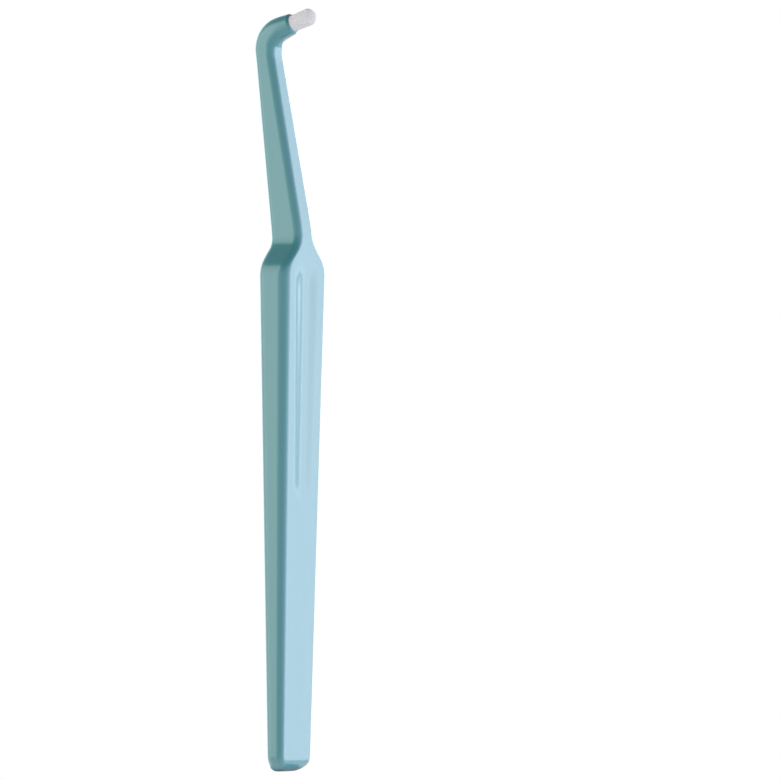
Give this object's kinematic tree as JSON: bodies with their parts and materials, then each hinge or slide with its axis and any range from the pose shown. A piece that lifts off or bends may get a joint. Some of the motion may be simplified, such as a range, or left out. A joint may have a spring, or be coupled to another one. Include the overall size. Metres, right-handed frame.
{
  "type": "single tuft toothbrush",
  "caption": "Slim toothbrush with a tapering grip, a shallow thumb dish, an angled neck and a small bent head that holds a round, dome-trimmed bristle tuft.",
  "frame": {"origin": "centre of the flat end face at the butt of the grip", "axes": "+Z along the length, from the butt to the head; +X across the width; -Y to the front, the side of the thumb dish and the tuft"},
  "size_m": [0.016, 0.0149, 0.1648],
  "materials": {
    "handle_plastic": "satin, pearly",
    "anchor_metal": "rolled and cut",
    "bristle_nylon": "translucent white"
  },
  "bodies": {
    "root": {"handle": "handle_plastic", "tuft_anchor": "anchor_metal", "bristle_tuft": "bristle_nylon"}
  },
  "joints": []
}
